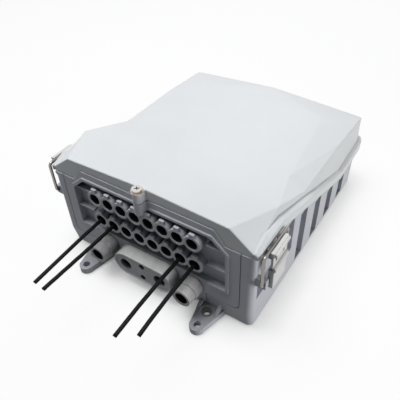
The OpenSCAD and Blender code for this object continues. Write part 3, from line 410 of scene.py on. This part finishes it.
def drawn_metal(name, colour, rough=0.2, streaks=(60, 60, 1600), depth=0.000006, recess_shade=0.8, reach=0.006):
    """Metal with drawing or brushing streaks, a faint uneven tarnish and painted shade in its recesses."""
    def inputs(p):
        streak = p.noise(1, 3, 0.6, p.stretched(streaks))
        tarnish = p.noise(140, 3, 0.6)
        tone = p.blend(tarnish, rgba(colour, 0.86), rgba(colour, 1.08))
        # Painted shade: darker in recesses, where other surfaces stand close
        tone = p.blend((1 - p.open_to(reach)) * recess_shade, tone, RECESS_SHADE_TONE)
        return {
            "Base Color": tone,
            "Roughness": rough + (streak - 0.5) * 0.14 + (tarnish - 0.5) * 0.1,
            "Normal": p.bump(streak, depth, 0.5),
        }
    return surface(name, inputs, {"Metallic": 1.0})


def clear_plastic(name, colour, transmission):
    """Clear or smoky moulding with light scuffs."""
    def inputs(p):
        scuff = p.noise(1, 4, 0.7, p.stretched((900, 40, 900)))
        cloud = p.noise(30, 2)
        return {
            "Base Color": p.blend(cloud, rgba(colour, 0.94), rgba(colour, 1.04)),
            "Roughness": 0.12 + scuff * 0.2,
            "Normal": p.bump(scuff, 0.000008, 0.3),
        }
    return surface(name, inputs, {"IOR": 1.49, "Transmission Weight": transmission})


def cable_jacket(name, colour):
    """Extruded jacket: lengthwise drag lines and a dull sheen."""
    def inputs(p):
        drag = p.noise(1, 3, 0.6, p.stretched((1500, 30, 1500)))
        dust = p.noise(90, 3, 0.6)
        tone = p.blend(dust, rgba(colour, 0.8), rgba([c + 0.003 for c in colour], 1.2))
        return {
            "Base Color": tone,
            "Roughness": 0.42 + (drag - 0.5) * 0.2,
            "Normal": p.bump(drag, 0.000004, 0.3),
        }
    return surface(name, inputs, {"IOR": 1.5, "Specular IOR Level": 0.08})


def dress(node, material):
    """Gives a CAD node its finish."""
    slots = NODES[node].data.materials
    slots.clear()
    slots.append(material)


# Points closer than the weld join, faces join up to the flat angle, and edges past the edge angle are rounded
WELD = 0.000005
FLAT_ANGLE = math.radians(0.4)
EDGE_ANGLE = math.radians(38)
# Rounding of the CAD nodes' edges, in metres
LEVER_EDGE = 0.0006
SLEEVE_EDGE = 0.0008
PANEL_EDGE = 0.0005
OVAL_EDGE = 0.001


def soften(node, radius, segments=2):
    """Rounds a CAD node's edges by modifiers, with its mesh as it is."""
    piece = NODES[node]
    weld = piece.modifiers.new("weld", "WELD")
    weld.merge_threshold = WELD
    flats = piece.modifiers.new("flats", "DECIMATE")
    flats.decimate_type = "DISSOLVE"
    flats.angle_limit = FLAT_ANGLE
    bevel = piece.modifiers.new("edges", "BEVEL")
    bevel.width = radius
    bevel.segments = segments
    bevel.limit_method = "ANGLE"
    bevel.angle_limit = EDGE_ANGLE
    bevel.miter_outer = "MITER_ARC"
    bevel.use_clamp_overlap = False
    shading = piece.modifiers.new("shading", "WEIGHTED_NORMAL")
    shading.keep_sharp = False
    shading.weight = 80


def new_piece(name, mesh, body, material, smooth=True):
    """Links a mesh as a piece that rides on a CAD body."""
    piece = bpy.data.objects.new(name, mesh)
    bpy.context.scene.collection.objects.link(piece)
    if smooth:
        mesh.polygons.foreach_set("use_smooth", [True] * len(mesh.polygons))
    mesh.materials.append(material)
    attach(piece, body)
    return piece


def through(points, steps):
    """Points on one smooth curve through the given ones."""
    ends = [points[0] * 2 - points[1], *points, points[-1] * 2 - points[-2]]
    line = []
    for a, b, c, d in zip(ends, ends[1:], ends[2:], ends[3:]):
        for i in range(steps):
            t = i / steps
            line.append(0.5 * (
                b * 2 + (c - a) * t + (a * 2 - b * 5 + c * 4 - d) * t ** 2
                + (b * 3 - a - c * 3 + d) * t ** 3))
    line.append(points[-1].copy())
    return line


def circle(radius, turns):
    """Pairs of numbers round a circle."""
    angles = [math.tau * k / turns for k in range(turns)]
    return [(radius * math.cos(a), radius * math.sin(a)) for a in angles]


def bridge(shape, first, second):
    """Joins two rings of points by a band of faces."""
    for k in range(len(first)):
        n = (k + 1) % len(first)
        shape.faces.new((first[k], first[n], second[n], second[k]))


def as_mesh(name, shape):
    """Turns a finished bmesh into a mesh."""
    mesh = bpy.data.meshes.new(name)
    shape.to_mesh(mesh)
    shape.free()
    return mesh


def swept(name, line, outline):
    """A closed tube: an outline of (across, up) pairs carried along a line that lies square to the X axis."""
    shape = bmesh.new()
    rings = []
    for i, place in enumerate(line):
        along = (line[min(i + 1, len(line) - 1)] - line[max(i - 1, 0)]).normalized()
        up = ACROSS.cross(along).normalized()
        rings.append([shape.verts.new(place + ACROSS * a + up * b) for a, b in outline])
    for first, second in zip(rings, rings[1:]):
        bridge(shape, first, second)
    shape.faces.new(rings[0][::-1])
    shape.faces.new(rings[-1])
    bmesh.ops.recalc_face_normals(shape, faces=shape.faces)
    return as_mesh(name, shape)


# Drop cables, in metres, from the connector out through the port to the free end
PORT_X = (-0.070, -0.050, 0.050, 0.070)
INNER_ROUTE = (
    (-0.117, 0.054), (-0.121, 0.0545), (-0.126, 0.057), (-0.131, 0.061), (-0.135, 0.066),
    (-0.139, 0.071), (-0.143, 0.075), (-0.148, 0.0775), (-0.153, 0.078), (-0.161, 0.078),
    (-0.171, 0.078))
OUTER_ROUTES = (
    ((-0.181, 0.078), (-0.191, 0.078), (-0.201, 0.078), (-0.211, 0.0775), (-0.221, 0.077),
     (-0.231, 0.0765), (-0.241, 0.076), (-0.251, 0.0755), (-0.261, 0.075), (-0.271, 0.0745),
     (-0.281, 0.074)),
    ((-0.181, 0.078), (-0.193, 0.078), (-0.205, 0.078), (-0.215, 0.0785), (-0.225, 0.0785),
     (-0.235, 0.079), (-0.245, 0.079), (-0.255, 0.0795), (-0.265, 0.0795), (-0.275, 0.080),
     (-0.285, 0.080)),
    ((-0.181, 0.078), (-0.193, 0.078), (-0.205, 0.078), (-0.215, 0.0775), (-0.225, 0.077),
     (-0.235, 0.0765), (-0.245, 0.076), (-0.255, 0.075), (-0.265, 0.074), (-0.275, 0.073),
     (-0.285, 0.072)),
    ((-0.181, 0.078), (-0.191, 0.078), (-0.201, 0.078), (-0.211, 0.0775), (-0.221, 0.077),
     (-0.231, 0.076), (-0.241, 0.075), (-0.251, 0.074), (-0.261, 0.0725), (-0.271, 0.071)),
)
# Steps from one point of a route to the next, and faces round the jacket
ROUTE_STEPS = 3
JACKET_SIDES = 28
# Width of the tear notch as a share of half the jacket, and how flat the jacket's sides are
NOTCH_SHARE = 0.2
FLATNESS = 0.75


class BOX_OT_cables(bpy.types.Operator):
    """Makes the four flat drop cables in the lower port row"""
    bl_idname = "termination_box.cables"
    bl_label = "Drop cables"

    def execute(self, context):
        look = context.scene.box_cables
        jacket = cable_jacket("cable_black", look.colour)
        half_w, half_t = look.width / 2, look.thickness / 2
        outline = []
        for across, up in circle(1, JACKET_SIDES):
            waist = math.exp(-(across / NOTCH_SHARE) ** 2)
            round_up = math.copysign(abs(up) ** FLATNESS, up)
            outline.append((half_w * across, round_up * (half_t - look.notch * waist)))
        for i, (x, outer) in enumerate(zip(PORT_X, OUTER_ROUTES), 1):
            points = [Vector((x, y, z)) for y, z in (*INNER_ROUTE, *outer)]
            line = through(points, ROUTE_STEPS)
            length = sum((b - a).length for a, b in zip(line, line[1:]))
            name = f"drop_cable_jacket_{i}"
            piece = new_piece(name, swept(name, line, outline), "base", jacket)
            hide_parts(f"drop_cable_{i}")
        return {"FINISHED"}


# Faces round the wire, along each of its bends and round the roll
WIRE_SIDES = 20
BEND_STEPS = 8
ROLL_STEPS = 12
# How far the bar on a lever is sunk, and where its chamfer starts and ends as shares of its depth and height
BAR_ROOT = 0.001
BAR_SHOULDER = 0.6
BAR_CROWN = 0.55


class BOX_OT_latches(bpy.types.Operator):
    """Makes the bent wire bails and finishes the latch levers"""
    bl_idname = "termination_box.latches"
    bl_label = "Latches"

    def execute(self, context):
        look = context.scene.box_latches
        case = context.scene.box_case
        # The wire and the levers get strong painted shade where other surfaces stand close
        steel = drawn_metal("wire_steel", look.wire_colour, 0.13, (900, 60, 60), recess_shade=1.0, reach=0.008)
        plastic = moulded_plastic("latch_grey", case.latch_colour, 0.36, case.grain, edge=case.edge, crease_shade=0.8)
        for side in SIDES:
            self.bail(look, side, steel)
            dress(f"lever_{side}", plastic)
            soften(f"lever_{side}", LEVER_EDGE)
            self.ribs(look, side, plastic)
        return {"FINISHED"}

    def bail(self, look, side, steel):
        """Round wire, bent at four corners, in the place of the plain bail."""
        node = f"bail_{side}"
        low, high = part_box(node)
        r = (high.x - low.x) / 2
        x = (low.x + high.x) / 2
        y0, y1, z0, z1 = low.y + r, high.y - r, low.z + r, high.z - r
        corners = [Vector((x, y, z)) for y, z in (
            (y0 + look.tail, z0), (y0, z0), (y0, z1), (y1, z1), (y1, z0), (y1 - look.tail, z0))]
        line = [corners[0]]
        for before, corner, after in zip(corners, corners[1:], corners[2:]):
            start = corner + (before - corner).normalized() * look.bend
            end = corner + (after - corner).normalized() * look.bend
            middle = start + end - corner
            for k in range(BEND_STEPS + 1):
                t = math.pi / 2 * k / BEND_STEPS
                line.append(middle + (start - middle) * math.cos(t) + (end - middle) * math.sin(t))
        line.append(corners[-1])
        name = f"bail_wire_{side}"
        piece = new_piece(name, swept(name, line, circle(r, WIRE_SIDES)), node, steel)
        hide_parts(node)

    def ribs(self, look, side, plastic):
        """Raised bar on the head of a lever and the half-round roll across its waist."""
        low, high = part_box(f"lever_{side}")
        out = 1 if side == "right" else -1
        face = (high.x if out > 0 else low.x) - out * look.grip_step
        y = (low.y + high.y) / 2
        half = (high.y - low.y) / 2
        tall, proud = look.bar_tall / 2, look.bar_proud
        edge = [(-BAR_ROOT, tall), (proud * BAR_SHOULDER, tall), (proud, tall * BAR_CROWN)]
        bar = [(a, -b) for a, b in edge] + edge[::-1]
        bends = [math.pi * (k / ROLL_STEPS - 0.5) for k in range(ROLL_STEPS + 1)]
        roll = [(look.roll_radius * math.cos(t), look.roll_radius * math.sin(t)) for t in bends]
        shapes = (
            ("bar", face, high.z - look.head_tall / 2, half - look.rib_in, bar),
            ("roll", face - out * look.roll_sunk, low.z + look.roll_up, half - look.roll_in, roll),
        )
        for kind, x, z, reach, outline in shapes:
            name = f"lever_{kind}_{side}"
            line = [Vector((x, y + step * reach, z)) for step in (-1, 0, 1)]
            mesh = swept(name, line, [(out * a, b) for a, b in outline])
            piece = new_piece(name, mesh, f"lever_{side}", plastic, False)
            rounded = piece.modifiers.new("rounded", "BEVEL")
            rounded.width = look.rib_edge
            rounded.segments = 2
            rounded.limit_method = "ANGLE"


# Painted shadow on the mounting ears: how high it lies, what faces up enough to take it, how far the wall
# casts it, and its share in the open and, on top of that, against the wall
EAR_HIGH = 0.02
EAR_LEVEL = 0.6
EAR_SHELTER = 0.06
EAR_OPEN = 0.15
EAR_CORNER = 0.6


def ear_shadow(p):
    """Share of the painted shadow on the ears, thickest against the wall of the base."""
    _, _, height = p.apart(p.here())
    _, _, level = p.apart(p.facing())
    on_ear = p.above(level, EAR_LEVEL) * p.above(EAR_HIGH, height)
    # Painted shadow: the ears' tops darken, most where the wall stands close
    return on_ear * ((1 - p.open_to(EAR_SHELTER)) * EAR_CORNER + EAR_OPEN)


# Faces round a liner, and its clearance in the bore in metres
LINER_SIDES = 48
LINER_FIT = 0.00005


class BOX_OT_case(bpy.types.Operator):
    """Finishes the base, the port panel and the cable entries, and lines the round entries"""
    bl_idname = "termination_box.case"
    bl_label = "Case"

    def execute(self, context):
        look = context.scene.box_case
        plastic = moulded_plastic("case_grey", look.case_colour, 0.44, look.grain, edge=look.edge)
        for node in ("port_panel", "cable_clamps", "splice_combs"):
            dress(node, plastic)
        # The base has painted shadow on its ears, thickest against its wall
        dress("base_shell", moulded_plastic(
            "base_grey", look.case_colour, 0.44, look.grain, edge=look.edge, crease_shade=0.05, deep=0.1,
            shadow_share=ear_shadow))
        scuffed = moulded_plastic("entry_grey", look.entry_colour, 0.5, look.grain, edge=look.edge, scuff=0.5)
        for side in SIDES:
            dress(f"entry_sleeve_{side}", scuffed)
            soften(f"entry_sleeve_{side}", SLEEVE_EDGE)
        dress("oval_entry", moulded_plastic(
            "oval_grey", look.oval_colour, 0.5, look.grain, edge=look.edge, scuff=0.3))
        soften("port_panel", PANEL_EDGE)
        soften("oval_entry", OVAL_EDGE, 3)
        dress("oval_seal", matt_rubber("grey_rubber", look.seal_colour, 0.55))
        rubber = matt_rubber("black_rubber", look.rubber_colour)
        for node in ("panel_gasket", "port_plugs", "cable_seals", "entry_plugs", "lid_gasket"):
            dress(node, rubber)
        for side in SIDES:
            self.liner(look, side, rubber)
        return {"FINISHED"}

    def liner(self, look, side, rubber):
        """Thin rubber sleeve in the bore of a round entry, from behind its mouth to its plug."""
        low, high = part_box(f"entry_sleeve_{side}")
        x, z = (low.x + high.x) / 2, (low.z + high.z) / 2
        bore = look.entry_bore / 2 - LINER_FIT
        wall, lip = look.liner_wall, look.liner_wall / 2
        mouth = low.y + look.liner_set
        end = mouth + look.liner_deep
        outline = [(bore, end), (bore, mouth + lip), (bore - lip / 3, mouth + lip / 3), (bore - lip, mouth),
                   (bore - wall + lip / 3, mouth + lip / 3), (bore - wall, mouth + lip), (bore - wall, end)]
        shape = bmesh.new()
        rings = [[shape.verts.new((x + r * c, y, z + r * s)) for r, y in outline]
                 for c, s in circle(1, LINER_SIDES)]
        for first, second in zip(rings, rings[1:] + rings[:1]):
            bridge(shape, first, second)
        bmesh.ops.recalc_face_normals(shape, faces=shape.faces)
        name = f"entry_liner_{side}"
        new_piece(name, as_mesh(name, shape), "base", rubber)


# Plateau of the lid: its ridge and crest in metres, how the crest sweeps back at the sides, the least upward
# part of a normal on it, and how its normals lean to the sides and back
RIDGE_Y = -0.1055
CREST_Y = 0.112
CREST_SWEEP = 0.03
PLATEAU_LEVEL = 0.972
PLATEAU_SWELL = 0.6
PLATEAU_FALL = 0.11


def swollen_plateau(p, soft):
    """Turns the normals of the flat triangles on the plateau into those of one gently swollen face."""
    x, y, _ = p.apart(p.here())
    _, _, level = p.apart(p.facing())
    sideways = p.node("ShaderNodeMath", {"operation": "ABSOLUTE"}, {0: x})
    behind_ridge = p.above(y, RIDGE_Y)
    before_crest = p.above(CREST_Y, y + sideways * CREST_SWEEP)
    mask = p.above(level, PLATEAU_LEVEL) * behind_ridge * before_crest
    lean = p.node("ShaderNodeCombineXYZ", {}, {0: x * PLATEAU_SWELL, 1: PLATEAU_FALL, 2: 1.0})
    turned = p.node(
        "ShaderNodeVectorTransform",
        {"vector_type": "NORMAL", "convert_from": "OBJECT", "convert_to": "WORLD"}, {0: lean})
    flat = p.node("ShaderNodeNewGeometry", out="True Normal")
    share = p.node("ShaderNodeCombineXYZ", {}, {0: mask, 1: mask, 2: mask})
    shift = p.vector("MULTIPLY", p.vector("SUBTRACT", turned, flat), share)
    return p.node("ShaderNodeVectorMath", {"operation": "NORMALIZE"}, {0: p.vector("ADD", soft, shift)})


class BOX_OT_lid(bpy.types.Operator):
    """Finishes the lid"""
    bl_idname = "termination_box.lid"
    bl_label = "Lid"

    def execute(self, context):
        look = context.scene.box_case
        dress("lid_shell", moulded_plastic(
            "lid_grey", look.lid_colour, 0.38, look.grain * 0.8, depth=0.000012, edge=look.lid_edge,
            crease_shade=0.02, deep=0.05, swell=swollen_plateau))
        return {"FINISHED"}


class BOX_OT_hardware(bpy.types.Operator):
    """Finishes screws, bushes, hinge pins and sheet metal"""
    bl_idname = "termination_box.hardware"
    bl_label = "Hardware"

    def execute(self, context):
        look = context.scene.box_hardware
        steel = drawn_metal("bright_steel", look.steel_colour, 0.22)
        for node in ("hinge_pins", "panel_screws", "plate_screws", "tray_screws", "bracket_screws",
                     "clamp_screws"):
            dress(node, steel)
        # The bushes and the lid screw get strong painted shade in their bores and recesses
        dress("ear_bushes", drawn_metal("bush_steel", look.bush_colour, 0.3, recess_shade=1.0, reach=0.02))
        dress("lid_screw", drawn_metal("plated_screw", look.screw_colour, 0.32, recess_shade=1.0, reach=0.004))
        dress("screw_washer", drawn_metal("plated_washer", look.washer_colour, 0.3))
        zinc = drawn_metal("zinc_sheet", look.zinc_colour, 0.34, (1400, 30, 60), 0.00001)
        for node in ("mount_plate", "adapter_bracket"):
            dress(node, zinc)
        dress("screw_insert", drawn_metal("brass_insert", look.brass_colour, 0.28))
        return {"FINISHED"}


class BOX_OT_inside(bpy.types.Operator):
    """Finishes the splice tray, splitter, adapters and connectors"""
    bl_idname = "termination_box.inside"
    bl_label = "Inside"

    def execute(self, context):
        look = context.scene.box_inside
        dress("splice_tray", moulded_plastic("tray_white", look.tray_colour, 0.38))
        dress("tray_cover", clear_plastic("tray_clear", look.cover_colour, 0.75))
        dress("splice_sleeves", clear_plastic("sleeve_clear", look.sleeve_colour, 0.35))
        dress("splitter_module", moulded_plastic("module_dark", look.splitter_colour, 0.5))
        dress("adapters", moulded_plastic("adapter_green", look.adapter_colour, 0.3, depth=0.00001))
        dress("drop_connectors", moulded_plastic("connector_blue", look.connector_colour, 0.3, depth=0.00001))
        return {"FINISHED"}


# Colours of the lights, and the point that they look at
COOL = (0.985, 0.995, 1.0)
WARM = (1.0, 0.995, 0.985)
LIT_POINT = Vector((0.0, 0.0, 0.07))
# Place, diameter and colour of each light, and whether glossy surfaces mirror it
LIGHTS = {
    "top": ((-0.45, -0.15, 1.5), 0.9, COOL, True),
    "back": ((-0.4, 1.3, 1.0), 0.9, COOL, True),
    "side": ((1.5, 0.1, 0.25), 0.8, WARM, False),
}
# Half the floor's side, how far the object's shade reaches on it, and how much of its white is its own glow
FLOOR_HALF = 6
SHADE_REACH = 0.04
FLOOR_GLOW = 0.88
# Colours of the floor and the surroundings, as they light the object and as they are seen
FLOOR_UNSEEN = (0.17, 0.175, 0.185, 1)
FLOOR_SEEN = (0.97, 0.97, 0.97, 1)
SKY_UNSEEN = (0.94, 0.97, 1.0, 1)
WHITE = (1, 1, 1, 1)


def white_rays(paint):
    """1 for rays that the camera, a mirror or glass sends out, and 0 for the rest."""
    kinds = ("Camera", "Glossy", "Transmission")
    camera, glossy, clear = (paint.node("ShaderNodeLightPath", out=f"Is {kind} Ray") for kind in kinds)
    return paint.node("ShaderNodeClamp", {}, {"Value": camera + glossy + clear})


class BOX_OT_stage(bpy.types.Operator):
    """Sets up the camera, the pale floor and the light"""
    bl_idname = "termination_box.stage"
    bl_label = "Stage"

    def execute(self, context):
        scene = context.scene
        look = scene.box_studio
        scene.view_settings.view_transform = "Standard"
        self.camera(scene, look)
        self.floor(scene)
        self.world(scene, look)
        for name, settings in LIGHTS.items():
            self.light(scene, f"{name}_light", getattr(look, name), *settings)
        return {"FINISHED"}

    def light(self, scene, name, power, place, size, colour, mirrored):
        """A round soft light that looks at the object."""
        lamp = bpy.data.lights.new(name, "AREA")
        lamp.shape = "DISK"
        lamp.size = size
        lamp.energy = power
        lamp.color = colour
        light = bpy.data.objects.new(name, lamp)
        scene.collection.objects.link(light)
        light.visible_glossy = mirrored
        light.location = place
        light.rotation_euler = (LIT_POINT - Vector(place)).to_track_quat("-Z", "Y").to_euler()

    def camera(self, scene, look):
        """The camera, placed and turned as in the photograph."""
        lens = bpy.data.cameras.new("camera")
        lens.lens = look.lens
        lens.sensor_width = look.sensor
        lens.dof.use_dof = False
        camera = bpy.data.objects.new("camera", lens)
        scene.collection.objects.link(camera)
        a, e, r = look.azimuth, look.elevation, look.roll
        ahead = Vector((-math.sin(a) * math.cos(e), math.cos(a) * math.cos(e), -math.sin(e)))
        level = Vector((math.cos(a), math.sin(a), 0))
        upright = level.cross(ahead)
        right = level * math.cos(r) + upright * math.sin(r)
        up = upright * math.cos(r) - level * math.sin(r)
        turn = Matrix((right, up, -ahead)).transposed().to_4x4()
        camera.matrix_world = Matrix.Translation(look.camera_place) @ turn
        scene.camera = camera

    def floor(self, scene):
        """A pale floor that is white to the camera, apart from the object's shadow."""
        shape = bmesh.new()
        bmesh.ops.create_grid(shape, x_segments=1, y_segments=1, size=FLOOR_HALF)
        mesh = as_mesh("floor", shape)
        floor = bpy.data.objects.new("floor", mesh)
        scene.collection.objects.link(floor)
        material = bpy.data.materials.new("pale_floor")
        material.use_nodes = True
        paint = Paint(material.node_tree)
        seen = white_rays(paint)
        tone = paint.blend(seen, FLOOR_UNSEEN, FLOOR_SEEN)
        matt = paint.node("ShaderNodeBsdfDiffuse", {}, {"Color": tone})
        glow = paint.node("ShaderNodeEmission", {}, {"Color": WHITE, "Strength": 1.0})
        share = seen * paint.open_to(SHADE_REACH) * FLOOR_GLOW
        both = paint.node("ShaderNodeMixShader", {}, {0: share, 1: matt, 2: glow})
        paint.node("ShaderNodeOutputMaterial", {}, {"Surface": both})
        mesh.materials.append(material)

    def world(self, scene, look):
        """Surroundings that look white and light the object weakly."""
        world = bpy.data.worlds.new("studio")
        scene.world = world
        world.use_nodes = True
        paint = Paint(world.node_tree)
        seen = white_rays(paint)
        strength = seen * (1 - look.fill) + look.fill
        tone = paint.blend(seen, SKY_UNSEEN, WHITE)
        shader = paint.node("ShaderNodeBackground", {}, {"Color": tone, "Strength": strength})
        paint.node("ShaderNodeOutputWorld", {}, {"Surface": shader})


OPERATORS = (
    BOX_OT_stage, BOX_OT_cables, BOX_OT_hardware, BOX_OT_case, BOX_OT_lid, BOX_OT_latches, BOX_OT_inside)
LOOKS = {
    "box_case": CaseLook, "box_cables": CableLook, "box_latches": LatchLook, "box_hardware": HardwareLook,
    "box_inside": InsideLook, "box_studio": StudioLook}


class BOX_PT_panel(bpy.types.Panel):
    """Lists the steps that dress the box and their sizes"""
    bl_idname = "BOX_PT_panel"
    bl_label = "Termination box"
    bl_space_type = "VIEW_3D"
    bl_region_type = "UI"
    bl_category = "Termination box"

    def draw(self, context):
        for operator in OPERATORS:
            self.layout.operator(operator.bl_idname)
        for place, look in LOOKS.items():
            values = getattr(context.scene, place)
            for name in look.__annotations__:
                self.layout.prop(values, name)


def register():
    for made in (*LOOKS.values(), *OPERATORS, BOX_PT_panel):
        bpy.utils.register_class(made)
    for place, look in LOOKS.items():
        setattr(bpy.types.Scene, place, PointerProperty(type=look))


def unregister():
    for place in LOOKS:
        delattr(bpy.types.Scene, place)
    for made in reversed((*LOOKS.values(), *OPERATORS, BOX_PT_panel)):
        bpy.utils.unregister_class(made)


def main():
    register()
    for operator in OPERATORS:
        group, name = operator.bl_idname.split(".")
        getattr(getattr(bpy.ops, group), name)()


if __name__ == "__main__":
    main()
